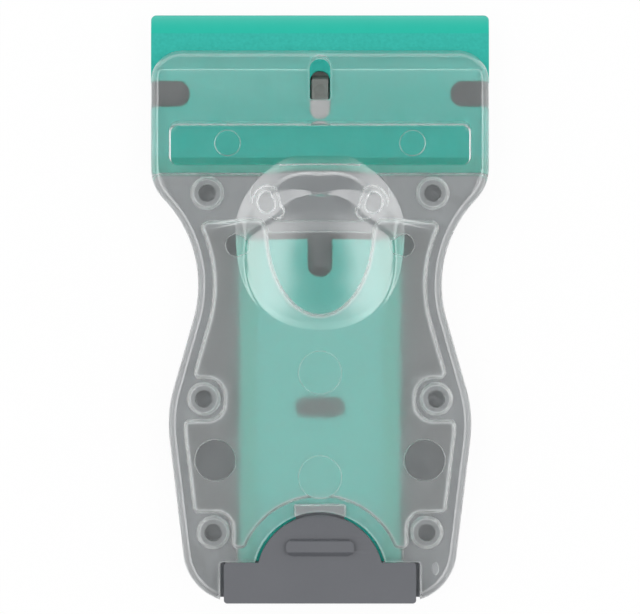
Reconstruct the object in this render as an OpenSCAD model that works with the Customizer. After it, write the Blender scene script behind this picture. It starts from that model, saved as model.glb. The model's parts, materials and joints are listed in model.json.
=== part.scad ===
// Pocket scraper for double-edged plastic razor blades. It lies on its back, with the cutting edge
// towards +Y. The origin is under the middle of the whole object, on the surface that it lies on.
// Sizes are in millimetres.

/* [Blades] */
// Length of a blade along its cutting edges
blade_length = 39; // [38.8:0.1:39.4]
// Depth of a blade from one cutting edge to the other
blade_depth = 18.6; // [18.3:0.1:18.9]
// Thickness of a blade
blade_thickness = 1; // [0.9:0.05:1.1]
// Width of the sharpened band along each cutting edge
bevel_width = 2.1; // [1.4:0.1:2.6]
// Thickness left at a cutting edge
edge_thickness = 0.2; // [0.1:0.05:0.4]
// Length of the slot in the middle of a blade
slot_length = 5.7; // [5.5:0.1:6]
// Width of the slot in the middle of a blade
slot_width = 2.3; // [2.2:0.05:2.5]
// Depth of the notch in each end of a blade
notch_depth = 4.5; // [4:0.1:5]
// Width of the notch in each end of a blade
notch_width = 2.9; // [2.7:0.1:3.2]
// Rounding of a blade's corners
blade_round = 0.6; // [0.3:0.1:1]

/* [Shells] */
// Width of the head
head_width = 38.7; // [38.4:0.1:38.8]
// Length of blade that stands out of the head
blade_reach = 4.1; // [3.6:0.1:4.6]
// Thickness of the handle without the thumb stop
handle_thickness = 8.3; // [8.2:0.1:8.8]
// Height of the joint between the shells above the back
parting_height = 4.7; // [4.65:0.05:4.8]
// Thickness of the rear shell's floor
floor_thickness = 1.4; // [1.2:0.1:1.4]
// Thickness of the side walls
wall = 2.05; // [1.8:0.05:2.3]
// Thickness of the front shell's face
face_thickness = 1.4; // [1.2:0.1:1.5]
// Distance that the front shell's rim stands out past the rear shell
rim_lip = 0.45; // [0.3:0.05:0.6]
// Rounding of the front shell's rim
rim_round = 0.9; // [0.6:0.1:1]
// Rounding of the rear shell's back edge
back_round = 1; // [0.6:0.1:1.2]

/* [Thumb stop] */
// Width of the thumb stop
stop_width = 19.4; // [18:0.2:20]
// Length of the thumb stop along the handle
stop_length = 21; // [20:0.5:22]
// Height of the thumb stop's flat crest above the handle
crest_height = 1.9; // [1.6:0.1:2.4]
// Depth of the thumb scoop below the handle's face
scoop_depth = 0.8; // [0.5:0.1:0.9]

/* [Catch] */
// Width of the spring tongue
tongue_width = 2.9; // [2.6:0.1:3.2]
// Thickness of the spring tongue
tongue_thickness = 1; // [0.8:0.05:1]
// Width of the peg that stands in the blade's slot
peg_width = 1.96; // [1.8:0.02:2.1]
// Length of the peg along the handle
peg_length = 2.5; // [2.2:0.1:2.7]

/* [End cap] */
// Width of the end cap's block
cap_width = 22; // [21.6:0.1:22.2]
// Length of the end cap's block along the handle
cap_length = 4.65; // [4.4:0.05:4.8]
// Radius of the half-round tongue on the end cap
cap_tongue_radius = 7.3; // [7:0.1:7.5]

/* [Hidden] */
$fn = 48;

// Overlap that makes a cut run past the face that it opens
past = 0.5;
// Room between faces that touch or slide
slide_gap = 0.05;
// Degrees of turn between neighbouring points of a rounded corner
arc_step = 7;
// Degrees of turn between neighbouring points of a rounded edge
edge_step = 22.5;
// Share of a slot's width that rounds its ends
end_rounding = 0.48;

// Places along the handle
front_edge_y = 33.8;
blade_rear_y = front_edge_y - blade_depth;
blade_middle_y = front_edge_y - blade_depth / 2;
shell_front_y = front_edge_y - blade_reach;
shell_end_y = -33.7;
cap_end_y = -front_edge_y;
cap_face_y = cap_end_y + cap_length;
cap_tongue_y = -31;
magazine_end_y = 9;
pocket_front_y = 9.95;
pocket_end_y = -27.65;
spare_front_y = 8.1;
spare_middle_y = spare_front_y - blade_length / 2;

// Heights above the back
seat_z = parting_height - blade_thickness - 2 * slide_gap;
blade_z = seat_z + slide_gap;
spare_z = floor_thickness + slide_gap;
spare_count = 4;
spare_top_z = spare_z + spare_count * blade_thickness;
ceiling_z = handle_thickness - face_thickness;
crest_z = handle_thickness + crest_height;

// Room round the stack of spare blades
stack_side_room = 0.3;
stack_top_room = 0.15;
channel_width = blade_depth + 2 * stack_side_room;
channel_z = spare_top_z + stack_top_room;

// Rib in the notches of the spare blades
stack_rib_width = notch_width - 2 * stack_side_room;
stack_rib_end_room = 1;
stack_rib_end_y = spare_front_y - notch_depth + stack_rib_end_room;
stack_rib_top_z = floor_thickness + spare_count / 2 * blade_thickness;

// Corners of the right half of the outline, from the front to the end, each with the radius of its rounding
side_corners = [
    [0, shell_front_y, 0],
    [head_width / 2, shell_front_y, 3.5],
    [head_width / 2, 14, 5.1],
    [12.3, 6.5, 14.2],
    [17.6, -12.1, 14.6],
    [15, shell_end_y, 6.1],
    [0, shell_end_y, 0]
];

// The head thins towards the blade, in two slopes in front and one behind
crease_rear_y = 22.5;
crease_front_y = 27.4;
crease_front_drop = 0.7;
lip_drop = 2.5;
back_crease_y = 16.5;
back_rise = 1.9;

// Bosses that hold the shells together
boss_places = [[12.95, 13.2], [13.35, -10.45], [12.25, -25.8]];
collar_radius = 1.85;
collar_height = 0.35;
pin_radius = 1;
pin_length = 1.6;
fit_gap = 0.05;
middle_pad = [9.8, 5.8];
middle_pad_round = 2;
end_pad = [8.6, 8.6];
end_pad_round = 1.6;
pad_shift = 2;

// Thumb stop
stop_y = 7.85;
// Share of the thumb stop's full rise at which its crest is cut flat
crest_share = 0.725;
stop_rise = crest_height / crest_share;
scoop_y = 3;
scoop_radii = [10.4, 9.9, 2.93];
scoop_pad_width = 12.4;
scoop_pad_length = 11.5;
post_place = [5.85, 12.05];
post_radius = 1.75;
post_bore_radius = 1.08;
stop_core = [15.6, 6.6];
stop_core_y = 13.65;
stop_core_round = 2.2;
stop_roof_thickness = 1;
stop_roof_z = handle_thickness - stop_roof_thickness;
pit = [8, 2.4];
pit_y = 13.95;
pit_depth = 1.4;

// Head
seat_recess = 0.15;
seat_recess_y = blade_rear_y + seat_recess;
core_out = [34.5, 4.2];
core_out_y = 18.8;
core_out_round = 0.9;
window_width = 2.4;
window_front_y = 28.7;
window_rear_y = 23.45;

// Catch
catch_axis = [28.3, 2.8];
catch_end_y = 23.95;
catch_gap_end_y = 21.7;
catch_side_room = 0.3;
catch_window_width = tongue_width + 2 * catch_side_room;
peg_top_z = 4.1;
peg_ramp = 0.45;
dimple_radius = 1.6;
dimple_depth = 0.2;

// End cap
cap_slit = 0.5;
arch_gap = 0.35;
arch_rim = 1.8;
cap_bottom_z = 0.2;
cap_round = 0.4;
cap_recess = 2;
recess_room = 0.1;
cap_tongue_bottom_z = channel_z + stack_top_room;
cap_tip_drop = 0.9;
cap_crease_y = -26.15;
latch_width = 5.6;
latch_front_y = -22.7;
latch_thickness = 0.75;
latch_side_room = 0.15;
latch_notch_y = [-25, -22.5];
latch_notch_z = 7.5;
grip_rib = [7.8, 2, 0.7];
grip_rib_y = -27.4;
grip_ramp = 0.5;
guide_z = 3.4;
guide_size = 0.8;
guide_reach = 0.9;

// Ejector marks on the front shell's inner face, each with its radius
mark_depth = 0.12;
pocket_marks = [[0, -7.4, 2.4], [0, -19.4, 2.4], [12, -17.45, 2.3], [-12, -17.45, 2.3], [9.5, 7.2, 1.35],
                [-9.5, 7.2, 1.35]];
head_marks = [[10.6, 18.9, 1.5], [-10.6, 18.9, 1.5]];

function unit(v) = v / norm(v);

// Points of the arc that rounds the corner b between its neighbours a and c
function corner_arc(a, b, c, r) =
    let (u = unit(a - b),
         v = unit(c - b),
         half = acos(u * v) / 2,
         centre = b + unit(u + v) * r / sin(half),
         start = b + u * r / tan(half) - centre,
         turn = 180 - 2 * half,
         sweep = -sign(cross(u, v)) * turn,
         first = atan2(start.y, start.x),
         steps = max(2, ceil(turn / arc_step)))
    [for (i = [0 : steps]) centre + r * [cos(first + sweep * i / steps), sin(first + sweep * i / steps)]];

function flat(p) = [p.x, p.y];

// Points along an open path of corners [x, y, radius], without its two ends
function rounded_path(corners) =
    [for (i = [1 : len(corners) - 2])
        each corner_arc(flat(corners[i - 1]), flat(corners[i]), flat(corners[i + 1]), corners[i].z)];

// Points round a rectangle with rounded corners, centred on the origin
function rounded_rectangle(size, r) =
    let (x = size.x / 2, y = size.y / 2, c = [[x, y], [-x, y], [-x, -y], [x, -y]])
    [for (i = [0 : 3]) each corner_arc(c[(i + 3) % 4], c[i], c[(i + 1) % 4], r)];

// The path with a point added where it crosses the height y
function with_station(path, y) =
    [for (i = [0 : len(path) - 1])
        let (p = path[i], q = path[max(i - 1, 0)])
        each (q.y - y) * (p.y - y) < 0 ? [q + (p - q) * (y - q.y) / (p.y - q.y), p] : [p]];

function across(p) = [-p.x, p.y];

// The right half of an outline, moved inwards
function inset(side, depth) =
    let (last = len(side) - 1)
    [for (i = [0 : last])
        let (before = i == 0 ? across(side[0]) : side[i - 1],
             after = i == last ? across(side[last]) : side[i + 1],
             d = unit(after - before))
        side[i] - depth * [-d.y, d.x]];

// The closed outline whose right half is given
function both_sides(side) = concat(side, [for (i = [len(side) - 1 : -1 : 0]) across(side[i])]);

function with_height(loop, base, slope) = [for (p = loop) [p.x, p.y, base + lookup(p.y, slope)]];

shell_side = rounded_path(side_corners);
front_side = with_station(shell_side, crease_rear_y);
rear_side = inset(with_station(shell_side, back_crease_y), rim_lip);
level = [[shell_end_y, 0], [shell_front_y, 0]];
front_slope = [[crease_rear_y, 0], [crease_front_y, -crease_front_drop], [shell_front_y, -lip_drop]];
back_slope = [[back_crease_y, 0], [shell_front_y, back_rise]];

// Rings of a rounded edge, from the side wall to the face; up is -1 for a face that looks down
function edge_rings(side, r, face_z, up, slope) =
    [for (a = [0 : edge_step : 90])
        with_height(both_sides(inset(side, r * (1 - cos(a)))), face_z - up * r * (1 - sin(a)), slope)];

function reversed(list) = [for (i = [len(list) - 1 : -1 : 0]) list[i]];

// A closed solid through outlines that have the same number of points, from the lowest to the highest
module loft(loops) {
    n = len(loops[0]);
    top = n * (len(loops) - 1);
    half = n / 2;
    walls = [for (k = [0 : len(loops) - 2])
                for (i = [0 : n - 1])
                    let (a = k * n + i, b = k * n + (i + 1) % n)
                    each [[a, b, b + n], [a, b + n, a + n]]];
    floor_faces = [for (i = [0 : half - 2]) [n - 1 - i, n - 2 - i, i + 1, i]];
    roof_faces = [for (i = [0 : half - 2]) [top + i, top + i + 1, top + n - 2 - i, top + n - 1 - i]];
    polyhedron([for (loop = loops) each loop], concat(floor_faces, walls, roof_faces));
}

module each_side() {
    children();
    mirror([1, 0, 0]) children();
}

// A block between two places along the handle and two heights, centred across it
module bar(width, y, z) {
    translate([-width / 2, y[0], z[0]]) cube([width, y[1] - y[0], z[1] - z[0]]);
}

// A shape drawn from the side, with Y to the right and Z up, made into a solid centred across the handle
module from_side(width) {
    translate([-width / 2, 0, 0]) rotate([90, 0, 90]) linear_extrude(width) children();
}

module ellipsoid(place, radii) {
    translate(place) scale(radii) sphere(1);
}

// Plan of the hollow between the side walls, which goes round the bosses
module pocket_plan(front_y) {
    difference() {
        intersection() {
            polygon(both_sides(inset(shell_side, wall)));
            translate([-head_width / 2, pocket_end_y]) square([head_width, front_y - pocket_end_y]);
        }
        each_side() {
            translate(boss_places[1] + [pad_shift, 0])
                polygon(rounded_rectangle(middle_pad, middle_pad_round));
            translate(boss_places[2] + [pad_shift, -pad_shift])
                polygon(rounded_rectangle(end_pad, end_pad_round));
        }
    }
}

module rear_body() {
    loft(concat(reversed(edge_rings(rear_side, back_round, 0, -1, back_slope)),
                [with_height(both_sides(rear_side), parting_height, level)]));
}

module rear_shell() {
    color("dimgray")
    difference() {
        union() {
            rear_body();
            each_side() for (p = boss_places)
                translate([p.x, p.y, parting_height - past])
                cylinder(r = collar_radius, h = collar_height + past);
        }
        // Seat of the working blade
        bar(blade_length + 2 * past, [blade_rear_y - slide_gap, front_edge_y], [seat_z, handle_thickness]);
        // Tray and magazine
        difference() {
            translate([0, 0, floor_thickness])
                linear_extrude(parting_height)
                pocket_plan(magazine_end_y);
            // Rib in the notches of the spare blades
            bar(stack_rib_width, [stack_rib_end_y, magazine_end_y + past], [0, stack_rib_top_z]);
        }
        bar(channel_width, [cap_end_y - past, pocket_end_y + past], [floor_thickness, handle_thickness]);
        // Opening for the end cap
        bar(cap_width + 2 * slide_gap, [cap_end_y - past, cap_face_y + slide_gap], [-past, handle_thickness]);
        each_side()
            translate([0, cap_end_y - past, guide_z - guide_size / 2 - slide_gap])
            cube([cap_width / 2 + guide_reach + slide_gap, cap_length + past, guide_size + 2 * slide_gap]);
        // Window of the catch, with the seat of its root
        bar(catch_window_width, [catch_gap_end_y, catch_axis[0]], [-past, handle_thickness]);
        translate([-catch_window_width / 2, catch_axis[0], catch_axis[1]])
            rotate([0, 90, 0])
            cylinder(r = tongue_thickness / 2 + slide_gap, h = catch_window_width);
        each_side() for (p = boss_places)
            translate([p.x, p.y, parting_height - pin_length])
            cylinder(r = pin_radius + fit_gap, h = pin_length + collar_height + past);
    }
}

module front_body() {
    loft(concat([with_height(both_sides(front_side), parting_height, level)],
                edge_rings(front_side, rim_round, handle_thickness, 1, front_slope)));
}

module thumb_stop() {
    intersection() {
        ellipsoid([0, stop_y, handle_thickness], [stop_width / 2, stop_length / 2, stop_rise]);
        bar(stop_width + 2 * past, [stop_y - stop_length, stop_y + stop_length],
            [handle_thickness - past, crest_z]);
    }
}

module thumb_scoop() {
    ellipsoid([0, scoop_y, handle_thickness - scoop_depth + scoop_radii.z], scoop_radii);
}

// Hollow of the thumb stop: a flat roof, and a long pit that runs up behind the crest
module stop_hollow() {
    translate([0, stop_core_y, parting_height - past])
        linear_extrude(stop_roof_z - parting_height + past)
        polygon(rounded_rectangle(stop_core, stop_core_round));
    translate([0, pit_y, stop_roof_z - past])
        linear_extrude(pit_depth + past)
        polygon(rounded_rectangle(pit, end_rounding * pit.y));
}

// Plan of the pad under the scoop: half an ellipse that opens towards the front
module scoop_pad_plan() {
    polygon([for (a = [0 : arc_step : 180])
        [cos(a) * scoop_pad_width / 2, pocket_front_y + past - sin(a) * (scoop_pad_length + past)]]);
}

module front_hollow() {
    difference() {
        translate([0, 0, parting_height - past])
            linear_extrude(ceiling_z - parting_height + past)
            pocket_plan(pocket_front_y);
        translate([0, 0, channel_z]) linear_extrude(handle_thickness) scoop_pad_plan();
        translate([0, cap_tongue_y, channel_z])
            cylinder(r = cap_tongue_radius + arch_gap + arch_rim, h = handle_thickness);
    }
    // Way of the spare blades, under the pad and the arch
    bar(channel_width, [cap_end_y, magazine_end_y], [parting_height - past, channel_z]);
}

module front_shell() {
    color([0.85, 0.88, 0.88, 0.5])
    difference() {
        union() {
            difference() {
                union() {
                    front_body();
                    thumb_stop();
                }
                thumb_scoop();
                front_hollow();
                stop_hollow();
                each_side() for (p = boss_places)
                    translate([p.x, p.y, parting_height - past])
                    cylinder(r = collar_radius + 2 * fit_gap, h = past + collar_height + 2 * fit_gap);
            }
            each_side() for (p = boss_places)
                translate([p.x, p.y, parting_height - pin_length + 2 * fit_gap])
                cylinder(r = pin_radius, h = pin_length + collar_height + past);
            each_side()
                translate([post_place.x, post_place.y, parting_height + slide_gap])
                difference() {
                    cylinder(r = post_radius, h = stop_roof_z - parting_height + past);
                    translate([0, 0, -past])
                        cylinder(r = post_bore_radius, h = ceiling_z - parting_height + past);
                }
        }
        // Seat of the working blade
        bar(blade_length + 2 * past, [seat_recess_y, front_edge_y], [0, parting_height + seat_recess]);
        // Hollow behind the head's slopes
        translate([0, core_out_y, parting_height - past])
            linear_extrude(ceiling_z - parting_height + past)
            polygon(rounded_rectangle(core_out, core_out_round));
        // Window over the catch
        translate([0, (window_front_y + window_rear_y) / 2, parting_height - past])
            linear_extrude(handle_thickness)
            polygon(rounded_rectangle([window_width, window_front_y - window_rear_y],
                                      end_rounding * window_width));
        // Opening for the end cap, its tongue and its latch
        bar(cap_width + 2 * cap_slit, [cap_end_y - past, cap_face_y + slide_gap], [0, crest_z]);
        translate([0, cap_tongue_y, parting_height])
            cylinder(r = cap_tongue_radius + arch_gap, h = crest_z);
        bar(latch_width + 2 * latch_side_room, latch_notch_y, [channel_z - past, latch_notch_z]);
        for (m = pocket_marks)
            translate([m.x, m.y, ceiling_z - past]) cylinder(r = m.z, h = past + mark_depth);
        for (m = head_marks)
            translate([m.x, m.y, ceiling_z - past]) cylinder(r = m.z, h = past + mark_depth);
    }
}

// Spring tongue with the peg that holds the working blade
module blade_catch() {
    root = tongue_thickness / 2;
    low = catch_axis[1] - root;
    high = catch_axis[1] + root;
    peg_front_y = catch_end_y + peg_length;
    color("gray")
    difference() {
        union() {
            bar(tongue_width, [catch_end_y, catch_axis[0]], [low, high]);
            translate([-tongue_width / 2, catch_axis[0], catch_axis[1]])
                rotate([0, 90, 0])
                cylinder(r = root, h = tongue_width);
            from_side(peg_width)
                polygon([[catch_end_y, low], [peg_front_y + peg_ramp, low], [peg_front_y + peg_ramp, high],
                         [peg_front_y, peg_top_z], [catch_end_y, peg_top_z]]);
        }
        translate([0, catch_end_y + peg_length / 2, peg_top_z - dimple_depth + dimple_radius])
            sphere(dimple_radius);
    }
}

// One blade, centred on the origin, with its cutting edges along X
module blade() {
    half = blade_depth / 2;
    thick = blade_thickness;
    thin = (blade_thickness - edge_thickness) / 2;
    difference() {
        intersection() {
            from_side(blade_length)
                polygon([[-half, thin], [-half + bevel_width, 0], [half - bevel_width, 0], [half, thin],
                         [half, thick - thin], [half - bevel_width, thick], [-half + bevel_width, thick],
                         [-half, thick - thin]]);
            linear_extrude(thick) polygon(rounded_rectangle([blade_length, blade_depth], blade_round));
        }
        translate([0, 0, -past])
            linear_extrude(thick + 2 * past)
            polygon(rounded_rectangle([slot_width, slot_length], end_rounding * slot_width));
        each_side()
            translate([blade_length / 2, 0, -past])
            linear_extrude(thick + 2 * past)
            polygon(rounded_rectangle([2 * notch_depth, notch_width], end_rounding * notch_width));
    }
}

module working_blade() {
    color("mediumaquamarine") translate([0, blade_middle_y, blade_z]) blade();
}

module spare_blade(number) {
    color("mediumaquamarine")
        translate([0, spare_middle_y, spare_z + (number - 1) * blade_thickness])
        rotate(90)
        blade();
}

module spare_blade_1() { spare_blade(1); }
module spare_blade_2() { spare_blade(2); }
module spare_blade_3() { spare_blade(3); }
module spare_blade_4() { spare_blade(4); }

// Side view of the half-round tongue and its latch, from the block to the latch's tip
module cap_tongue_profile() {
    tip_y = cap_tongue_y + cap_tongue_radius;
    tip_z = handle_thickness - cap_tip_drop;
    polygon([[cap_face_y - past, cap_tongue_bottom_z], [tip_y + past, cap_tongue_bottom_z],
             [tip_y + past, tip_z], [tip_y, tip_z], [cap_crease_y, handle_thickness],
             [cap_face_y - past, handle_thickness]]);
}

// Side view of the grip rib, steep towards the latch and sloping towards the block
module grip_rib_profile() {
    front_y = grip_rib_y + grip_rib.y / 2;
    rear_y = grip_rib_y - grip_rib.y / 2;
    top_z = handle_thickness + grip_rib.z;
    polygon([[front_y, handle_thickness - past], [front_y, handle_thickness],
             [front_y - grip_ramp / 2, top_z], [rear_y + grip_ramp, top_z],
             [rear_y, handle_thickness], [rear_y, handle_thickness - past]]);
}

module end_cap() {
    color("dimgray")
    difference() {
        union() {
            translate([0, cap_end_y + cap_length / 2, cap_bottom_z])
                linear_extrude(handle_thickness - cap_bottom_z)
                polygon(rounded_rectangle([cap_width, cap_length], cap_round));
            // Ribs that run in the grooves of the rear shell
            each_side()
                translate([0, cap_end_y + cap_round, guide_z - guide_size / 2])
                cube([cap_width / 2 + guide_reach, cap_length - cap_round - slide_gap, guide_size]);
            intersection() {
                translate([0, cap_tongue_y, 0]) cylinder(r = cap_tongue_radius, h = crest_z);
                from_side(2 * cap_tongue_radius) cap_tongue_profile();
            }
            bar(latch_width, [cap_crease_y, latch_front_y],
                [cap_tongue_bottom_z, cap_tongue_bottom_z + latch_thickness]);
            intersection() {
                translate([0, grip_rib_y, handle_thickness - past])
                    linear_extrude(grip_rib.z + past)
                    polygon(rounded_rectangle([grip_rib.x, grip_rib.y], end_rounding * grip_rib.y));
                from_side(grip_rib.x) grip_rib_profile();
            }
        }
        // Recess for the ends of the spare blades
        bar(blade_depth + 2 * recess_room, [cap_face_y - cap_recess, cap_face_y + past],
            [floor_thickness - recess_room, spare_top_z + recess_room]);
    }
}

rear_shell();
front_shell();
blade_catch();
working_blade();
spare_blade_1();
spare_blade_2();
spare_blade_3();
spare_blade_4();
end_cap();
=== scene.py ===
import json
import math

import bmesh
import bpy
from mathutils import Matrix, Vector


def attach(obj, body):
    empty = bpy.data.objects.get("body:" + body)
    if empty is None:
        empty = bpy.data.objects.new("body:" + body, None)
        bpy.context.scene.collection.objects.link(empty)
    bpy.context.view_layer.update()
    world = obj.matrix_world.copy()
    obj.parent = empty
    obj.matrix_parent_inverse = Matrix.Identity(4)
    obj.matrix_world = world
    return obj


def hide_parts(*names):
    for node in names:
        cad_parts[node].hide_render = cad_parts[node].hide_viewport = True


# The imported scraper: clear and grey shells, a teal blade in the head, spare blades and an end cap
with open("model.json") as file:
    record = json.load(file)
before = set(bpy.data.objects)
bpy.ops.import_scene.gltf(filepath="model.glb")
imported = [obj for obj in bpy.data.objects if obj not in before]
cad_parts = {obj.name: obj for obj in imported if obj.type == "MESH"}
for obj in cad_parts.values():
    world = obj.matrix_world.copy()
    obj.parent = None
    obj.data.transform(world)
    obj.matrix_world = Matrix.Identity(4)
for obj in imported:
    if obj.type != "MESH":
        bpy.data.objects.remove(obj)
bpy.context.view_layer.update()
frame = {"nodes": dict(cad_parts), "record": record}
nodes = frame["nodes"]
BODY_OF = {node: body for body, members in frame["record"]["behaviour"]["bodies"].items() for node in members}

# Shapes are drawn in millimetres and turned into metres when a mesh is finished
METRE = 0.001
MERGE = 1e-5
OVERLAP = 0.02

# Heights above the back
FACE_Z = 8.3
PARTING_Z = 4.7
AIR_GAP = 0.03
UNDERSIDE_Z = PARTING_Z + AIR_GAP
SEAT_ROOF_Z = UNDERSIDE_Z + 0.25
CEILING_Z = 6.9
REAR_EDGE_Z = CEILING_Z - 0.5
CHANNEL_Z = 5.6
CHANNEL_END_Z = CHANNEL_Z + 0.02
STOP_ROOF_Z = 5.0
BOSS_ROOF_Z = 5.5
LATCH_Z = 7.5
PIN_TIP_Z = 3.2
PIN_ROOT_Z = 5.7
BELOW_Z = 3.6
ABOVE_Z = 14.0

# Outline of the right half of the shells, from the front to the end: across, along, rounding
FRONT_Y = 29.7
END_Y = -33.7
HEAD_HALF = 19.35
SIDE_CORNERS = [
    (0, FRONT_Y, 0),
    (HEAD_HALF, FRONT_Y, 3.5),
    (HEAD_HALF, 14, 5.1),
    (12.3, 6.5, 14.2),
    (17.6, -12.1, 14.6),
    (15, END_Y, 6.1),
    (0, END_Y, 0),
]
RIM_ROUND = 0.9
LIP_ROUND = 0.15
WALL = 1.65

# How finely arcs, rounded edges and bevels are drawn
ARC_STEP = math.radians(2.5)
EDGE_STEPS = 6
BEVEL_STEPS = 4
BEVEL_BELLY = 0.06
CURVE_STEPS = 40

# The head thins towards the blade in two slopes: where each begins, how much steeper it is, half its rounding
CREASE_REAR_Y = 22.5
CREASES = [(CREASE_REAR_Y, 0.143, 0.01), (27.4, 0.64, 0.35)]

# Footprint of the thumb stop: reach to each side, and the powers that round its front and its rear
STOP_Y = 9.5
STOP_HALF = 9.66
STOP_FRONT = 8.8
STOP_REAR = 12.2
STOP_POWERS = (1.75, 2.5)
FOOT_STEPS = 240
FOOT_SHARES = [1 - i / 64 for i in range(62)]

# Crest of the thumb stop: its rise, how it falls off across, and where it turns from broad to narrow
CREST_RISE = 1.88
CREST_SAG = 0.007
CREST_SPREAD = 30
CREST_FADE_Y = 7
CREST_FADE = 4
RAMP_LENGTH = 15.2
RAMP_POWER = 1.6

# Shares of the footprint that the flanks take up: at the sides, and more than that in front
FLANK_SIDE = 0.13
FLANK_FRONT = 0.47

# Scoop for the thumb: an oval bowl behind the crest, with a steep rim and a rounded edge
SCOOP_Y = 3
SCOOP_HALF = 10.4
SCOOP_FRONT = 9.9
SCOOP_REAR = 7.9
SCOOP_DEPTH = 0.8
SCOOP_HEIGHT = 2.93
SCOOP_RIM = 0.99
SCOOP_RIM_SLOPE = 10
SCOOP_BLEND = 0.6
SCOOP_BLEND_SHARE = 0.08

# Bosses and posts: across and along, on both sides. A pair of radii is at the low and the high end.
BOSSES = [(12.95, 13.2), (13.35, -10.45), (12.25, -25.8)]
BOSS_RADIUS = 1.95
PIN_RADII = (1.0, 1.0)
POSTS = [(5.85, 12.05)]
POST_RADII = (1.6, 1.85)
POST_BORE_RADII = (1.2, 0.98)
MARK_DEPTH = 0.08
MARK_CLEARANCE = 0.6

# End cap and the arch over it
CAP_FACE_Y = -29.15
CAP_PLAY = 0.05
CAP_DEPTH = 6
ARCH_Y = -31
ARCH_RADIUS = 7.65
ARCH_RIM = 9.2
ARCH_SWEEP = math.radians(69)

# Pocket: its front and rear end, the scoop's pad, and the boss pads that stand in it
POCKET_FRONT_Y = 10.1
POCKET_REAR_Y = -27.7
SCOOP_PAD_HALF = 6.2
SCOOP_PAD_REACH = 10.85
SIDE_PAD_X = 11.1
SIDE_PAD_FRONT_Y = -8.2
SIDE_PAD_REAR_Y = -12.75
END_PAD_X = 10.2
END_PAD_Y = -23.6

# Hollows with straight sides: size, centre, rounding of the corners and, where it differs, of the rear ones
SEAT_REAR_Y = 15.35
SEAT_LENGTH = 17
CHANNEL_FRONT_Y = 9
CHANNEL_LENGTH = 43.5
SEAT = ((2 * HEAD_HALF + 2, SEAT_LENGTH), (0, SEAT_REAR_Y + SEAT_LENGTH / 2), 0.3)
CHANNEL = ((19.2, CHANNEL_LENGTH), (0, CHANNEL_FRONT_Y - CHANNEL_LENGTH / 2), 0.3)
CHANNEL_END = ((19, 13), (0, -27.5), 0.3)
CORE_OUT = ((35, 5.1), (0, 18.95), 1.2)
REAR_EDGE = ((9.2, 0.6), (0, 16.45), 0.28)
STOP_HOLLOW = ((15.6, 5.55), (0, 13.125), 2.7)
WINDOW = ((2.4, 4.8), (0, 26.3), 1.15, 0.3)
CAP_OPENING = ((23, CAP_DEPTH), (0, CAP_FACE_Y + CAP_PLAY - CAP_DEPTH / 2), 0.4)
LATCH_NOTCH = ((5.9, 2.5), (0, -23.75), 0.2)

# Mark of the moulding gate beside the end cap
GATE_PLACE = Vector((13.2, -29.8))
GATE_HALF = (0.45, 0.75)
GATE_DEPTH = 0.12

# Edges softened on the other pieces, and the area in square millimetres from which their faces stay flat
SHELL_EDGE = 0.1
CATCH_EDGE = 0.08
CAP_EDGE = 0.3
BLADE_EDGE = 0.08
FLAT_FROM = 20
# The floor under the working blade, which gets the darker grey of painted shade: from where along, and
# between which heights
SEAT_FLOOR_Y = 14
SEAT_FLOOR_Z = (3.3, 3.7)

# Outlines and meshes


def corner_arc(a, b, c, radius):
    """Points of the arc that rounds the corner b between its neighbours a and c."""
    a, b, c = Vector(a[:2]), Vector(b[:2]), Vector(c[:2])
    if radius == 0:
        return [b]
    u, v = (a - b).normalized(), (c - b).normalized()
    half = u.angle(v) / 2
    centre = b + (u + v).normalized() * radius / math.sin(half)
    start = b + u * radius / math.tan(half) - centre
    turn = math.pi - 2 * half
    sweep = -math.copysign(turn, u.x * v.y - u.y * v.x)
    first = math.atan2(start.y, start.x)
    steps = max(3, math.ceil(turn / ARC_STEP))
    angles = [first + sweep * i / steps for i in range(steps + 1)]
    return [centre + radius * Vector((math.cos(angle), math.sin(angle))) for angle in angles]


def rounded_path(corners):
    """Points along an open path of corners (x, y, rounding), without its two ends."""
    points = []
    for i in range(1, len(corners) - 1):
        points += corner_arc(corners[i - 1], corners[i], corners[i + 1], corners[i][2])
    return points


def rounded_box(size, centre, rounding, rear_rounding=None):
    """Closed outline of a rectangle with rounded corners, clockwise seen from above."""
    x, y = size[0] / 2, size[1] / 2
    corners = [(x, y), (x, -y), (-x, -y), (-x, y)]
    points = []
    for i in range(4):
        radius = rear_rounding if rear_rounding and corners[i][1] < 0 else rounding
        points += corner_arc(corners[i - 1], corners[i], corners[(i + 1) % 4], radius)
    return [p + Vector(centre) for p in points]


def circle(centre, radius, steps=96):
    """Closed round outline, clockwise seen from above."""
    angles = [-2 * math.pi * i / steps for i in range(steps)]
    return [Vector(centre) + radius * Vector((math.cos(angle), math.sin(angle))) for angle in angles]


def both_sides(side):
    """The closed outline whose right half is given, from front to end."""
    return side + [Vector((-p.x, p.y)) for p in reversed(side) if p.x > 1e-6]


def mirrored(x):
    """The places on the two sides of the handle, or the one on its middle line."""
    return [x, -x] if x else [x]


def inset(loop, depth):
    """A closed outline that runs clockwise seen from above, moved inwards."""
    moved = []
    for i, p in enumerate(loop):
        along = (loop[(i + 1) % len(loop)] - loop[i - 1]).normalized()
        moved.append(p + depth * Vector((along.y, -along.x)))
    return moved


def slope(y):
    """Drop of the head's face at a place along the handle."""
    drop = 0
    for place, steeper, half in CREASES:
        past = y - place
        drop += steeper * (past if past > half else max(0, past + half) ** 2 / (4 * half))
    return drop


def edge_round(radius):
    """Steps of a rounded edge from wall to face: how far in from the wall, how far short of the face."""
    angles = [math.pi / 2 * i / EDGE_STEPS for i in range(EDGE_STEPS + 1)]
    return [(radius * (1 - math.cos(a)), radius * (1 - math.sin(a))) for a in angles]


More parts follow.
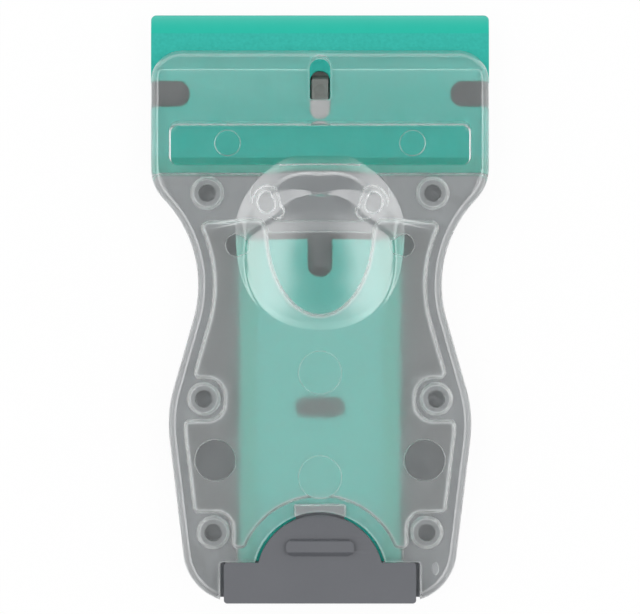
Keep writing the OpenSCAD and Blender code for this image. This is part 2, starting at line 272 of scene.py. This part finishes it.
def edge_bevel(width):
    """Steps of a slightly bellied bevel from a wall to a roof, as edge_round gives them."""
    steps = []
    for i in range(BEVEL_STEPS + 1):
        share = i / BEVEL_STEPS
        belly = BEVEL_BELLY * width * math.sin(math.pi * share)
        steps.append((width * share - belly, width * (1 - share) - belly))
    return steps


def new_piece(bm, name, *materials):
    """An object made from a bmesh, which is used up."""
    mesh = bpy.data.meshes.new(name)
    bm.to_mesh(mesh)
    bm.free()
    for material in materials:
        mesh.materials.append(material)
    piece = bpy.data.objects.new(name, mesh)
    bpy.context.scene.collection.objects.link(piece)
    return piece


def finished(bm, name, *materials):
    """An object from a mesh drawn in millimetres, with its faces outwards."""
    bmesh.ops.remove_doubles(bm, verts=bm.verts, dist=MERGE)
    bmesh.ops.recalc_face_normals(bm, faces=bm.faces)
    piece = new_piece(bm, name, *materials)
    piece.data.transform(Matrix.Scale(METRE, 4))
    return piece


def add_ring(bm, loop, height):
    """Vertices of one outline, at a height or at a height worked out from each point."""
    at = height if callable(height) else lambda p: height
    return [bm.verts.new((p.x, p.y, at(p))) for p in loop]


def join_rings(bm, rings):
    """Walls between outlines that follow each other."""
    for low, high in zip(rings, rings[1:]):
        for i in range(len(low)):
            j = (i + 1) % len(low)
            bm.faces.new((low[i], low[j], high[j], high[i]))


def fill(bm, *loops):
    """Flat triangles inside one closed outline and outside the others."""
    edges = []
    for loop in loops:
        edges += [bm.edges.get(pair) or bm.edges.new(pair) for pair in zip(loop, loop[1:] + loop[:1])]
    bmesh.ops.triangle_fill(bm, use_beauty=True, edges=edges, normal=(0, 0, 1))


def lofted(name, rings, material):
    """A closed solid through outlines with equally many points, given as (loop, height), lowest first."""
    bm = bmesh.new()
    made = [add_ring(bm, loop, height) for loop, height in rings]
    join_rings(bm, made)
    fill(bm, made[0])
    fill(bm, made[-1])
    return finished(bm, name, material)


def hollow(name, loop, top_z, bevel, material, draft=0, low_z=BELOW_Z, edge=edge_bevel):
    """A cutter from below. Its walls lean in by the draft and meet its roof in an edge that catches light."""
    rings = [(loop, low_z)]
    if draft:
        rings.append((loop, UNDERSIDE_Z))
    rings += [(inset(loop, draft + depth), top_z - short) for depth, short in edge(bevel)]
    return lofted(name, rings, material)


def opening(name, loop, rounding, material):
    """A cutter through the face, whose edge at the face is rounded over."""
    rings = [(loop, BELOW_Z)]
    for short, depth in edge_round(rounding):
        rings.insert(1, (inset(loop, -depth), lambda p, short=short: FACE_Z - slope(p.y) - short))
    rings.append((inset(loop, -rounding), ABOVE_Z))
    return lofted(name, rings, material)


def settled(piece):
    """Turns a piece's modifiers into plain mesh."""
    graph = bpy.context.evaluated_depsgraph_get()
    mesh = bpy.data.meshes.new_from_object(piece.evaluated_get(graph))
    piece.modifiers.clear()
    old = piece.data
    piece.data = mesh
    mesh.name = piece.name
    bpy.data.meshes.remove(old)
    return piece


def carve(piece, cutter, operation="DIFFERENCE"):
    """Cuts or adds another solid, whose material goes on the faces that it leaves."""
    cut = piece.modifiers.new("cut", "BOOLEAN")
    cut.operation = operation
    cut.solver = "EXACT"
    cut.material_mode = "TRANSFER"
    cut.object = cutter
    settled(piece)
    bpy.data.objects.remove(cutter)


def shade(piece, flat_from=math.inf):
    """Smooth shading with sharp edges kept. Faces larger than an area in square millimetres stay flat."""
    mesh = piece.data
    mesh.shade_smooth()
    mesh.set_sharp_from_angle(angle=math.radians(30))
    flat = {key for face in mesh.polygons if face.area > flat_from * METRE ** 2 for key in face.edge_keys}
    for edge in mesh.edges:
        if edge.key in flat:
            edge.use_edge_sharp = True
    weigh = piece.modifiers.new("weigh", "WEIGHTED_NORMAL")
    weigh.keep_sharp = True
    settled(piece)


def stands_for(piece, node):
    """Lets a piece ride on its CAD node's body and stand for that node, which it hides."""
    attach(piece, BODY_OF[node])
    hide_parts(node)


# Materials


def linear(colour):
    """A hex sRGB colour as linear RGBA."""
    parts = [int(colour[i:i + 2], 16) / 255 for i in (1, 3, 5)]
    return tuple(c / 12.92 if c <= 0.04045 else ((c + 0.055) / 1.055) ** 2.4 for c in parts) + (1.0,)


def add(tree, kind, inputs=None, **settings):
    """Adds a node, sets its properties, and sets its inputs or links them to other sockets."""
    node = tree.nodes.new(kind)
    for name, value in settings.items():
        setattr(node, name, value)
    for name, value in (inputs or {}).items():
        if isinstance(value, bpy.types.NodeSocket):
            tree.links.new(value, node.inputs[name])
        else:
            node.inputs[name].default_value = value
    return node


def new_material(name):
    """A material without nodes, and its tree."""
    material = bpy.data.materials.new(name)
    material.use_nodes = True
    material.node_tree.nodes.clear()
    return material, material.node_tree


def per_metre(millimetres):
    """Scale of a pattern on Object coordinates, from the real size of its grain."""
    return 1 / (millimetres * METRE)


# Sizes of patterns in millimetres. The grain of a sparked mould is really about 0.1, finer than a pixel of
# the render, so it is drawn coarser here to show. Flow is the slow waviness that moulding leaves in plastic.
SPARK_GRAIN = 0.3
CLEAR_SPARK_GRAIN = 0.5
GROUND_GRAIN = 1.2
CLEAR_FLOW = 2.5
GREY_FLOW = 6


def clear_plastic(name, roughness, grain, relief, milk, lamp_pass, coat=0.0):
    """Clear injection-moulded polycarbonate. A polished mould leaves it glossy, a sparked one finely matt.

    The milk is the share that scatters, and lamp_pass the share of studio light that goes straight through.
    """
    material, tree = new_material(name)
    place = add(tree, "ShaderNodeTexCoord")
    noise = add(tree, "ShaderNodeTexNoise", {
        "Vector": place.outputs["Object"], "Scale": per_metre(grain), "Detail": 3.0})
    rough = add(tree, "ShaderNodeMapRange", {
        "Value": noise.outputs["Fac"], "From Min": 0.3, "From Max": 0.7,
        "To Min": roughness * 0.7, "To Max": roughness * 1.3})
    bump = add(tree, "ShaderNodeBump", {
        "Height": noise.outputs["Fac"], "Strength": relief, "Distance": 0.02 * METRE})
    shader = add(tree, "ShaderNodeBsdfPrincipled", {
        "Base Color": linear("#FDFFFF"), "Roughness": rough.outputs["Result"], "IOR": 1.585,
        "Transmission Weight": 1 - milk, "Normal": bump.outputs["Normal"],
        "Coat Weight": coat, "Coat Roughness": roughness, "Coat IOR": 1.8})
    path = add(tree, "ShaderNodeLightPath")
    passed = add(tree, "ShaderNodeBsdfTransparent", {"Color": (*[lamp_pass] * 3, 1)})
    surface = add(tree, "ShaderNodeMixShader", {
        0: path.outputs["Is Shadow Ray"], 1: shader.outputs[0], 2: passed.outputs[0]})
    add(tree, "ShaderNodeOutputMaterial", {"Surface": surface.outputs[0]})
    return material


def grey_plastic(name, colours, matt=(0.42, 0.66)):
    """Grey injection-moulded ABS: an even grain, with faint darker and lighter flow."""
    material, tree = new_material(name)
    place = add(tree, "ShaderNodeTexCoord")
    fine = add(tree, "ShaderNodeTexNoise", {
        "Vector": place.outputs["Object"], "Scale": per_metre(SPARK_GRAIN), "Detail": 4.0})
    flow = add(tree, "ShaderNodeTexNoise", {
        "Vector": place.outputs["Object"], "Scale": per_metre(GREY_FLOW), "Detail": 2.0})
    tint = add(tree, "ShaderNodeMix", {
        "Factor": flow.outputs["Fac"], "A": linear(colours[0]), "B": linear(colours[1])}, data_type="RGBA")
    rough = add(tree, "ShaderNodeMapRange", {
        "Value": fine.outputs["Fac"], "To Min": matt[0], "To Max": matt[1]})
    bump = add(tree, "ShaderNodeBump", {
        "Height": fine.outputs["Fac"], "Strength": 0.25, "Distance": 0.03 * METRE})
    shader = add(tree, "ShaderNodeBsdfPrincipled", {
        "Base Color": tint.outputs["Result"], "Roughness": rough.outputs["Result"], "IOR": 1.53,
        "Normal": bump.outputs["Normal"]})
    add(tree, "ShaderNodeOutputMaterial", {"Surface": shader.outputs["BSDF"]})
    return material


def teal_plastic(name, colours, grain, relief, matt):
    """Teal acetal. It is paler where a blade thins out to its edge, because light comes through there."""
    material, tree = new_material(name)
    place = add(tree, "ShaderNodeTexCoord")
    fine = add(tree, "ShaderNodeTexNoise", {
        "Vector": place.outputs["Object"], "Scale": per_metre(grain), "Detail": 3.0})
    body = add(tree, "ShaderNodeMix", {
        "Factor": fine.outputs["Fac"], "A": linear(colours[0]), "B": linear(colours[1])}, data_type="RGBA")
    thin = add(tree, "ShaderNodeAttribute", attribute_name="thinness")
    glow = add(tree, "ShaderNodeMath", {0: thin.outputs["Fac"], 1: 3.0}, operation="POWER")
    tint = add(tree, "ShaderNodeMix", {
        "Factor": glow.outputs[0], "A": body.outputs["Result"], "B": linear("#74C6BA")}, data_type="RGBA")
    bump = add(tree, "ShaderNodeBump", {
        "Height": fine.outputs["Fac"], "Strength": relief, "Distance": 0.04 * METRE})
    rough = add(tree, "ShaderNodeMapRange", {
        "Value": fine.outputs["Fac"], "To Min": matt[0], "To Max": matt[1]})
    shader = add(tree, "ShaderNodeBsdfPrincipled", {
        "Base Color": tint.outputs["Result"], "Roughness": rough.outputs["Result"], "IOR": 1.48,
        "Specular IOR Level": 0.35, "Normal": bump.outputs["Normal"]})
    add(tree, "ShaderNodeOutputMaterial", {"Surface": shader.outputs["BSDF"]})
    return material


# Polycarbonate from a polished mould: a hard gloss outside, through which the pieces under it stay readable
polished_clear = clear_plastic(
    "polished_clear_polycarbonate", 0.12, CLEAR_FLOW, relief=0.02, milk=0.008, lamp_pass=0.95, coat=1.0)

# The same from a mirror-polished core: hardly any haze, so the blade under it is deeper in colour
bright_clear = clear_plastic(
    "mirror_polished_clear_polycarbonate", 0.1, CLEAR_FLOW, relief=0.02, milk=0.01, lamp_pass=1.0)

# Polycarbonate from a sparked mould: a matt inside that greys and softens what lies under it
matt_clear = clear_plastic(
    "sparked_clear_polycarbonate", 0.6, CLEAR_SPARK_GRAIN, relief=0.0, milk=0.105, lamp_pass=0.78)

# Polycarbonate from a stoned mould: a satin inside that blurs edges but keeps their colour
satin_clear = clear_plastic(
    "satin_clear_polycarbonate", 0.5, CLEAR_FLOW, relief=0.0, milk=0.006, lamp_pass=0.62)

# Polycarbonate on the small roundings of sparked hollows: it scatters side light, which draws soft pale lines
frosted_clear = clear_plastic(
    "frosted_clear_polycarbonate", 0.6, CLEAR_SPARK_GRAIN, relief=0.0, milk=0.42, lamp_pass=0.7)

# ABS from a sparked mould: a dull, even mid grey under the clear shell
grey_abs = grey_plastic("sparked_grey_abs", ("#5E6165", "#65686C"))

# ABS from a polished mould under the working blade, coloured a darker grey as painted shade, so that the
# notches over it look dark as if deep in shadow
polished_abs_with_painted_shade = grey_plastic("polished_grey_abs_painted_shade", ("#2C2E31", "#313336"), matt=(0.2, 0.3))

# ABS in the tray's grey, drawn paler as painted light: the catch shows lighter than the tray around it, which
# makes up for the shade in its narrow window
catch_abs_painted_light = grey_plastic("grey_abs_painted_light", ("#8E8E8B", "#959591"))

# ABS from a sparked mould in a darker grey: the end cap, dull and without a clear shell over it
cap_abs = grey_plastic("sparked_dark_grey_abs", ("#5B5D62", "#616368"))

# Acetal from a sparked mould: a speckled, fine-grained teal on the blade's body
sparked_teal = teal_plastic("sparked_teal_acetal", ("#149F90", "#2FB9AD"), SPARK_GRAIN, 0.35, (0.45, 0.6))

# Acetal ground to a bevel: a smoother, more even and brighter teal along the cutting edges
ground_teal = teal_plastic("ground_teal_acetal", ("#13B29E", "#17B6A2"), GROUND_GRAIN, 0.05, (0.3, 0.36))

# Shallow round marks in the pocket's roof: across, along, radius and finish
MARKS = [
    (0, -7.4, 2.5, matt_clear),
    (0, -19.4, 2.5, matt_clear),
    (12, -17.45, 2.4, satin_clear),
    (9.5, 7.2, 1.35, satin_clear),
    (10.6, 18.9, 1.5, bright_clear),
]

# Front shell


def lesser(a, b, blend):
    """The smaller of two heights, with the edge between them rounded."""
    near = max(0, blend - abs(a - b)) / blend
    return min(a, b) - near * near * blend / 4


def stop_height(x, y):
    """Rise of the thumb stop, and of the scoop behind it, above the face."""
    ahead = y > STOP_Y
    reach, power = (STOP_FRONT, STOP_POWERS[0]) if ahead else (STOP_REAR, STOP_POWERS[1])
    across, along = abs(x) / STOP_HALF, abs(y - STOP_Y) / reach
    share = (across ** power + along ** power) ** (1 / power)
    if share >= 1:
        return 0
    forward = (along / share) ** 2 if ahead and share else 0
    rise = min(1, (1 - share) / (FLANK_SIDE + FLANK_FRONT * forward))
    flank = (1 - forward) * (1 - (1 - rise) ** 2) + forward * rise ** 2
    fade = min(1, max(0, (y - CREST_FADE_Y) / CREST_FADE))
    fade *= fade * (3 - 2 * fade)
    broad = CREST_RISE - CREST_SAG * x * x
    narrow = CREST_RISE * math.exp(-x * x / CREST_SPREAD)
    ramp = min(1, max(0, (y - STOP_Y + STOP_REAR) / RAMP_LENGTH)) ** RAMP_POWER
    ridge = (broad * (1 - fade) + narrow * fade) * ramp
    scoop_reach = SCOOP_FRONT if y > SCOOP_Y else SCOOP_REAR
    dip = min(1, (x / SCOOP_HALF) ** 2 + ((y - SCOOP_Y) / scoop_reach) ** 2)
    bowl = -SCOOP_DEPTH + SCOOP_HEIGHT * (1 - math.sqrt(1 - dip)) + SCOOP_RIM_SLOPE * max(0, dip - SCOOP_RIM)
    return lesser(ridge * flank, bowl, SCOOP_BLEND * min(1, (1 - share) / SCOOP_BLEND_SHARE))


def stop_foot(angle, share):
    """A point on the thumb stop's footprint, or on its copy shrunk to a share of the size."""
    c, s = math.cos(angle), math.sin(angle)
    reach, power = (STOP_FRONT, STOP_POWERS[0]) if s > 0 else (STOP_REAR, STOP_POWERS[1])
    x = STOP_HALF * math.copysign(abs(c) ** (2 / power), c)
    y = reach * math.copysign(abs(s) ** (2 / power), s)
    return Vector((x * share, STOP_Y + y * share))


def front_shell_body():
    """The moulded cover before its hollows: rounded rim, sloping head, thumb stop and scoop."""
    bm = bmesh.new()
    side = rounded_path(SIDE_CORNERS)
    crease = next(i for i, p in enumerate(side) if p.y < CREASE_REAR_Y)
    side.insert(crease, Vector((HEAD_HALF, CREASE_REAR_Y)))
    loop = both_sides(side)
    rings = [add_ring(bm, inset(loop, depth), UNDERSIDE_Z + short) for short, depth in edge_round(LIP_ROUND)]
    for depth, short in edge_round(RIM_ROUND):
        rings.append(add_ring(bm, inset(loop, depth), lambda p, short=short: FACE_Z - short - slope(p.y)))
    join_rings(bm, rings)
    underside = set(rings[0])
    fill(bm, rings[0])
    for face in bm.faces:
        face.material_index = int(all(v in underside for v in face.verts))
    top = rings[-1]
    for i in range(crease):
        bm.faces.new((top[i], top[i + 1], top[-2 - i], top[-1 - i]))
    feet = []
    for share in FOOT_SHARES:
        points = [stop_foot(2 * math.pi * i / FOOT_STEPS, share) for i in range(FOOT_STEPS)]
        feet.append(add_ring(
            bm, points, lambda p, share=share: FACE_Z + (0 if share == 1 else stop_height(p.x, p.y))))
    join_rings(bm, feet)
    middle = bm.verts.new((0, STOP_Y, FACE_Z + stop_height(0, STOP_Y)))
    for i in range(FOOT_STEPS):
        bm.faces.new((feet[-1][i], feet[-1][(i + 1) % FOOT_STEPS], middle))
    fill(bm, top[crease:len(top) - crease], feet[0])
    return finished(bm, "clear_front_shell", polished_clear, matt_clear)


def pocket_outline():
    """The hollow over the tray: inside the walls, round the boss pads, the scoop's pad and the arch.

    The wall, the pad and the arch stop short of the corners beside them, which leaves room for roundings.
    """
    wall = [p for p in inset(both_sides(rounded_path(SIDE_CORNERS)), WALL) if p.x > 0]

    def stretch(high, low):
        return [(p.x, p.y, 0) for p in wall if low < p.y < high]

    def at_wall(y, rounding):
        a, b = next((a, b) for a, b in zip(wall, wall[1:]) if a.y >= y > b.y)
        return a.x + (b.x - a.x) * (a.y - y) / (a.y - b.y), y, rounding

    pad_angles = [math.pi / 2 * i / CURVE_STEPS for i in range(CURVE_STEPS - 2)]
    pad = [(SCOOP_PAD_HALF * math.sin(a), POCKET_FRONT_Y - SCOOP_PAD_REACH * math.cos(a), 0)
           for a in pad_angles]
    arch_angles = [ARCH_SWEEP * i / CURVE_STEPS for i in range(CURVE_STEPS, -1, -1)]
    arch = [(ARCH_RIM * math.sin(a), ARCH_Y + ARCH_RIM * math.cos(a), 0) for a in arch_angles]
    corners = [
        (-1, pad[0][1], 0),
        *pad,
        (SCOOP_PAD_HALF, POCKET_FRONT_Y, 0.8),
        at_wall(POCKET_FRONT_Y, 0.9),
        *stretch(POCKET_FRONT_Y - 1.6, SIDE_PAD_FRONT_Y + 1.1),
        at_wall(SIDE_PAD_FRONT_Y, 0.8),
        (SIDE_PAD_X, SIDE_PAD_FRONT_Y, 1.9),
        (SIDE_PAD_X, SIDE_PAD_REAR_Y, 1.9),
        at_wall(SIDE_PAD_REAR_Y, 0.8),
        *stretch(SIDE_PAD_REAR_Y - 1.15, END_PAD_Y + 1.1),
        at_wall(END_PAD_Y, 0.8),
        (END_PAD_X, END_PAD_Y, 1.6),
        (END_PAD_X, POCKET_REAR_Y, 0.8),
        (arch[0][0], POCKET_REAR_Y, 0.8),
        *arch[4:],
        (-1, arch[-1][1], 0),
    ]
    return both_sides(rounded_path(corners))


def stubs_on_points():
    """Geometry Nodes tree that stands a round stub on every point."""
    tree = bpy.data.node_groups.new("stubs_on_points", "GeometryNodeTree")
    tree.interface.new_socket("Points", in_out="INPUT", socket_type="NodeSocketGeometry")
    for size in ("Low Radius", "High Radius", "Length"):
        tree.interface.new_socket(size, in_out="INPUT", socket_type="NodeSocketFloat")
    tree.interface.new_socket("Material", in_out="INPUT", socket_type="NodeSocketMaterial")
    tree.interface.new_socket("Stubs", in_out="OUTPUT", socket_type="NodeSocketGeometry")
    given = add(tree, "NodeGroupInput").outputs
    stub = add(tree, "GeometryNodeMeshCone", {
        "Vertices": 64, "Radius Bottom": given["Low Radius"], "Radius Top": given["High Radius"],
        "Depth": given["Length"]})
    stood = add(tree, "GeometryNodeInstanceOnPoints", {
        "Points": given["Points"], "Instance": stub.outputs["Mesh"]})
    real = add(tree, "GeometryNodeRealizeInstances", {"Geometry": stood.outputs["Instances"]})
    painted = add(tree, "GeometryNodeSetMaterial", {
        "Geometry": real.outputs["Geometry"], "Material": given["Material"]})
    add(tree, "NodeGroupOutput", {"Stubs": painted.outputs["Geometry"]})
    return tree


STUBS = stubs_on_points()


def stubs(name, places, radii, low_z, high_z, material):
    """Round stubs of one size on both sides, as one object. The radii are at the low and the high end."""
    bm = bmesh.new()
    for x, y in places:
        for across in mirrored(x):
            bm.verts.new((across, y, low_z))
    piece = finished(bm, name)
    stand = piece.modifiers.new("stand", "NODES")
    stand.node_group = STUBS
    values = {
        "Low Radius": radii[0] * METRE,
        "High Radius": radii[1] * METRE,
        "Length": (high_z - low_z) * METRE,
        "Material": material,
    }
    for item in STUBS.interface.items_tree:
        if item.name in values:
            stand[item.identifier] = values[item.name]
    return settled(piece)


def core_out():
    """The hollow across the head. Its rear wall is upright, and its front wall leans."""
    loop = rounded_box(*CORE_OUT)
    rings = [(loop, BELOW_Z), (loop, UNDERSIDE_Z)]
    draft, bevel = 0.2, 0.2
    for depth, short in edge_bevel(bevel):
        lean = draft + depth
        rings.append(([p - Vector((0, lean)) for p in inset(loop, lean)], CEILING_Z - short))
    return lofted("core_out", rings, bright_clear)


def stop_hollow():
    """The hollow under the thumb stop, with two posts left standing."""
    cutter = hollow("stop_hollow", rounded_box(*STOP_HOLLOW), STOP_ROOF_Z, 0.1, satin_clear)
    posts = stubs("posts", POSTS, POST_RADII, UNDERSIDE_Z - OVERLAP, STOP_ROOF_Z + OVERLAP, satin_clear)
    carve(cutter, posts)
    return cutter


def gate_mark():
    """The shallow oval that the moulding gate leaves in the face."""
    loop = [GATE_PLACE + Vector((GATE_HALF[0] * p.x, GATE_HALF[1] * p.y)) for p in circle((0, 0), 1, 48)]
    rings = [(inset(loop, 0.15), FACE_Z - GATE_DEPTH), (loop, FACE_Z + OVERLAP), (loop, ABOVE_Z)]
    return lofted("gate_mark", rings, satin_clear)


def frost_edges(shell):
    """Gives the small roundings of the sparked hollows a frosted finish, which draws soft pale lines."""
    shell.data.materials.append(frosted_clear)
    names = [material.name for material in shell.data.materials]
    sparked, frosted = names.index(matt_clear.name), names.index(frosted_clear.name)
    for face in shell.data.polygons:
        if face.material_index == sparked and 0.15 < abs(face.normal.z) < 0.97:
            face.material_index = frosted


front_shell = front_shell_body()
carve(front_shell, hollow("seat_roof", rounded_box(*SEAT), SEAT_ROOF_Z, 0.2, satin_clear))
pocket = hollow("pocket", pocket_outline(), CEILING_Z, 0.5, matt_clear, draft=0.15, edge=edge_round)
carve(front_shell, pocket)
carve(front_shell, hollow("channel", rounded_box(*CHANNEL), CHANNEL_Z, 0.05, satin_clear))
carve(front_shell, hollow("channel_end", rounded_box(*CHANNEL_END), CHANNEL_END_Z, 0.01, matt_clear))
carve(front_shell, core_out())
carve(front_shell, hollow("rear_edge", rounded_box(*REAR_EDGE), REAR_EDGE_Z, 0.25, bright_clear))
carve(front_shell, stop_hollow())
post_bores = stubs("post_bores", POSTS, POST_BORE_RADII, UNDERSIDE_Z - OVERLAP, STOP_ROOF_Z, satin_clear)
carve(front_shell, post_bores)
for x, y in BOSSES:
    for across in mirrored(x):
        recess = circle((across, y), BOSS_RADIUS)
        carve(front_shell, hollow("boss_recess", recess, BOSS_ROOF_Z, 0.42, matt_clear, draft=0.05))
carve(front_shell, stubs("pins", BOSSES, PIN_RADII, PIN_TIP_Z, PIN_ROOT_Z, matt_clear), "UNION")
for x, y, radius, finish in MARKS:
    for across in mirrored(x):
        loop = circle((across, y), radius)
        carve(front_shell, hollow(
            "mark", loop, CEILING_Z + MARK_DEPTH, MARK_DEPTH, finish, low_z=CEILING_Z - MARK_CLEARANCE))
carve(front_shell, opening("window", rounded_box(*WINDOW), 0.2, satin_clear))
carve(front_shell, opening("arch", circle((0, ARCH_Y), ARCH_RADIUS), 0.25, polished_clear))
carve(front_shell, opening("cap_opening", rounded_box(*CAP_OPENING), 0.2, satin_clear))
carve(front_shell, hollow("latch_notch", rounded_box(*LATCH_NOTCH), LATCH_Z, 0.15, matt_clear))
carve(front_shell, gate_mark())
frost_edges(front_shell)
shade(front_shell)
stands_for(front_shell, "front_shell")

# Other pieces


def refined(node, material, edge):
    """A copy of a rigid piece with its triangles joined into faces and its sharp edges softened."""
    bm = bmesh.new()
    bm.from_mesh(nodes[node].data)
    bmesh.ops.remove_doubles(bm, verts=bm.verts, dist=2e-6)
    bmesh.ops.dissolve_limit(bm, angle_limit=math.radians(0.5), verts=bm.verts, edges=bm.edges)
    piece = new_piece(bm, node + "_moulded", material)
    soften = piece.modifiers.new("soften", "BEVEL")
    soften.width = edge * METRE
    soften.segments = 2
    soften.limit_method = "ANGLE"
    soften.angle_limit = math.radians(35)
    settled(piece)
    shade(piece, FLAT_FROM)
    return piece


def polish_and_shade_seat(tray):
    """Gives the floor under the working blade its polished finish and its darker grey, which is painted
    shade.
    """
    tray.data.materials.append(polished_abs_with_painted_shade)
    low, high = [z * METRE for z in SEAT_FLOOR_Z]
    for face in tray.data.polygons:
        # Upward faces of the seat floor take the polished grey, darkened as painted shade
        if face.normal.z > 0.9 and face.center.y > SEAT_FLOOR_Y * METRE and low < face.center.z < high:
            face.material_index = 1


def grind_bevels(blade):
    """Gives the sloping bands along a blade's edges their ground finish, and marks where it is thin."""
    blade.data.materials.append(ground_teal)
    for face in blade.data.polygons:
        if 0.9 < abs(face.normal.z) < 0.999:
            face.material_index = 1
    heights = [vertex.co.z for vertex in blade.data.vertices]
    middle, half = (max(heights) + min(heights)) / 2, (max(heights) - min(heights)) / 2
    thinness = blade.data.attributes.new("thinness", "FLOAT", "POINT")
    thinness.data.foreach_set("value", [
        1 - abs(v.co.z - middle) / half if v.co.y > FRONT_Y * METRE else 0 for v in blade.data.vertices])


rear_shell = refined("rear_shell", grey_abs, SHELL_EDGE)
polish_and_shade_seat(rear_shell)
stands_for(rear_shell, "rear_shell")
# The catch takes the paler grey, painted light against the shade in its window
stands_for(refined("blade_catch", catch_abs_painted_light, CATCH_EDGE), "blade_catch")
stands_for(refined("end_cap", cap_abs, CAP_EDGE), "end_cap")
for node in ["working_blade"] + [f"spare_blade_{i}" for i in range(1, 5)]:
    blade = refined(node, sparked_teal, BLADE_EDGE)
    grind_bevels(blade)
    stands_for(blade, node)

# Studio: pale floor, a soft ring of light that is strongest on either side, camera straight above

# Strengths of the light, where 1 is white. Those in pairs run from the end cap to the blade, and from the
# ends to the sides of the horizon.
OVERHEAD_LIGHT = 0.07
END_LIGHT = (0.5, 0.6)
SIDE_LIGHT = 2.45
STRIP_LIGHT = 3.0
HORIZON_LIGHT = (0.25, 1.3)

# Where the light is, in radians from straight above: the ring's edges, and a strip in front of the blade
RING_INNER = (0.25, 0.5)
RING_OUTER = (0.7, 0.95)
RING_SKEW = 0.2
STRIP_ANGLE = 0.8
STRIP_HALF = 0.04

# Floor and camera. A pixel is a size in millimetres, and the camera aims at this height.
FLOOR_SIZE = 1000
FLOOR_DROP = 0.05
FLOOR_GLOW = 0.95
FLOOR_GLOW_THROUGH = 0.4
PIXEL = 0.115
IMAGE_WIDTH = 640
AIM_Z = 6


def studio_floor():
    """A pale floor, nearly white to the eye and less so through clear plastic, with a faint shadow."""
    material, tree = new_material("studio_floor")
    path = add(tree, "ShaderNodeLightPath")
    paint = add(tree, "ShaderNodeBsdfDiffuse", {"Color": linear("#F4F4F4")})
    glow = add(tree, "ShaderNodeEmission", {"Color": (1, 1, 1, 1), "Strength": 1.0})
    through = add(tree, "ShaderNodeMath", {
        0: path.outputs["Is Transmission Ray"], 1: FLOOR_GLOW_THROUGH}, operation="MULTIPLY")
    eye = add(tree, "ShaderNodeMath", {
        0: path.outputs["Is Camera Ray"], 1: through.outputs[0]}, operation="MAXIMUM")
    seen = add(tree, "ShaderNodeMath", {0: eye.outputs[0], 1: FLOOR_GLOW}, operation="MULTIPLY")
    surface = add(tree, "ShaderNodeMixShader", {0: seen.outputs[0], 1: paint.outputs[0], 2: glow.outputs[0]})
    add(tree, "ShaderNodeOutputMaterial", {"Surface": surface.outputs[0]})
    bm = bmesh.new()
    bmesh.ops.create_grid(bm, x_segments=1, y_segments=1, size=FLOOR_SIZE)
    floor = finished(bm, "floor", material)
    floor.location.z = -FLOOR_DROP * METRE


def studio_light():
    """A sky that is dark overhead, bright in a ring that is strongest at the sides, and dimmer below it."""
    world = bpy.data.worlds.new("studio")
    bpy.context.scene.world = world
    world.use_nodes = True
    tree = world.node_tree
    tree.nodes.clear()
    path = add(tree, "ShaderNodeLightPath")
    way = add(tree, "ShaderNodeTexCoord")
    parts = add(tree, "ShaderNodeSeparateXYZ", {"Vector": way.outputs["Generated"]})
    lean = add(tree, "ShaderNodeMath", {0: parts.outputs["Z"]}, operation="ARCCOSINE")
    aside = add(tree, "ShaderNodeMath", {0: parts.outputs["X"], 1: parts.outputs["X"]}, operation="MULTIPLY")
    up = add(tree, "ShaderNodeMath", {0: parts.outputs["Z"], 1: parts.outputs["Z"]}, operation="MULTIPLY")
    level = add(tree, "ShaderNodeMath", {0: 1.0, 1: up.outputs[0]}, operation="SUBTRACT")
    turn = add(tree, "ShaderNodeMath", {0: aside.outputs[0], 1: level.outputs[0]}, operation="DIVIDE")
    ring = add(tree, "ShaderNodeMath", {
        0: turn.outputs[0], 1: RING_SKEW, 2: lean.outputs[0]}, operation="MULTIPLY_ADD")
    ends = add(tree, "ShaderNodeMapRange", {
        "Value": parts.outputs["Y"], "From Min": -0.4, "From Max": 0.4,
        "To Min": END_LIGHT[0], "To Max": END_LIGHT[1]})
    boxes = add(tree, "ShaderNodeMapRange", {
        "Value": turn.outputs[0], "From Max": 0.45, "To Min": ends.outputs["Result"], "To Max": SIDE_LIGHT})
    horizon = add(tree, "ShaderNodeMapRange", {
        "Value": aside.outputs[0], "To Min": HORIZON_LIGHT[0], "To Max": HORIZON_LIGHT[1]})
    inner = add(tree, "ShaderNodeMapRange", {
        "Value": ring.outputs[0], "From Min": RING_INNER[0], "From Max": RING_INNER[1],
        "To Min": OVERHEAD_LIGHT, "To Max": boxes.outputs["Result"]}, interpolation_type="SMOOTHSTEP")
    outer = add(tree, "ShaderNodeMapRange", {
        "Value": ring.outputs[0], "From Min": RING_OUTER[0], "From Max": RING_OUTER[1],
        "To Min": inner.outputs["Result"], "To Max": horizon.outputs["Result"]},
        interpolation_type="SMOOTHSTEP")
    strip = add(tree, "ShaderNodeMapRange", {
        "Value": parts.outputs["Y"], "From Min": 0.4, "From Max": 0.7, "To Max": STRIP_LIGHT})
    near = add(tree, "ShaderNodeMath", {
        0: lean.outputs[0], 1: STRIP_ANGLE, 2: STRIP_HALF}, operation="COMPARE")
    lit = add(tree, "ShaderNodeMath", {
        0: near.outputs[0], 1: strip.outputs["Result"], 2: outer.outputs["Result"]}, operation="MULTIPLY_ADD")
    shown = add(tree, "ShaderNodeMath", {
        0: lit.outputs[0], 1: path.outputs["Is Camera Ray"]}, operation="MAXIMUM")
    sky = add(tree, "ShaderNodeBackground", {"Color": (1, 1, 1, 1), "Strength": shown.outputs[0]})
    add(tree, "ShaderNodeOutputWorld", {"Surface": sky.outputs[0]})


def photo_camera():
    """The camera straight above, far enough away to see almost no perspective."""
    data = bpy.data.cameras.new("camera")
    data.lens = 200
    data.sensor_width = 36
    distance = IMAGE_WIDTH * PIXEL * METRE * data.lens / data.sensor_width
    camera = bpy.data.objects.new("camera", data)
    camera.location = (0, PIXEL * METRE, AIM_Z * METRE + distance)
    bpy.context.scene.collection.objects.link(camera)
    bpy.context.scene.camera = camera


bpy.context.scene.view_settings.view_transform = "Standard"
studio_floor()
studio_light()
photo_camera()
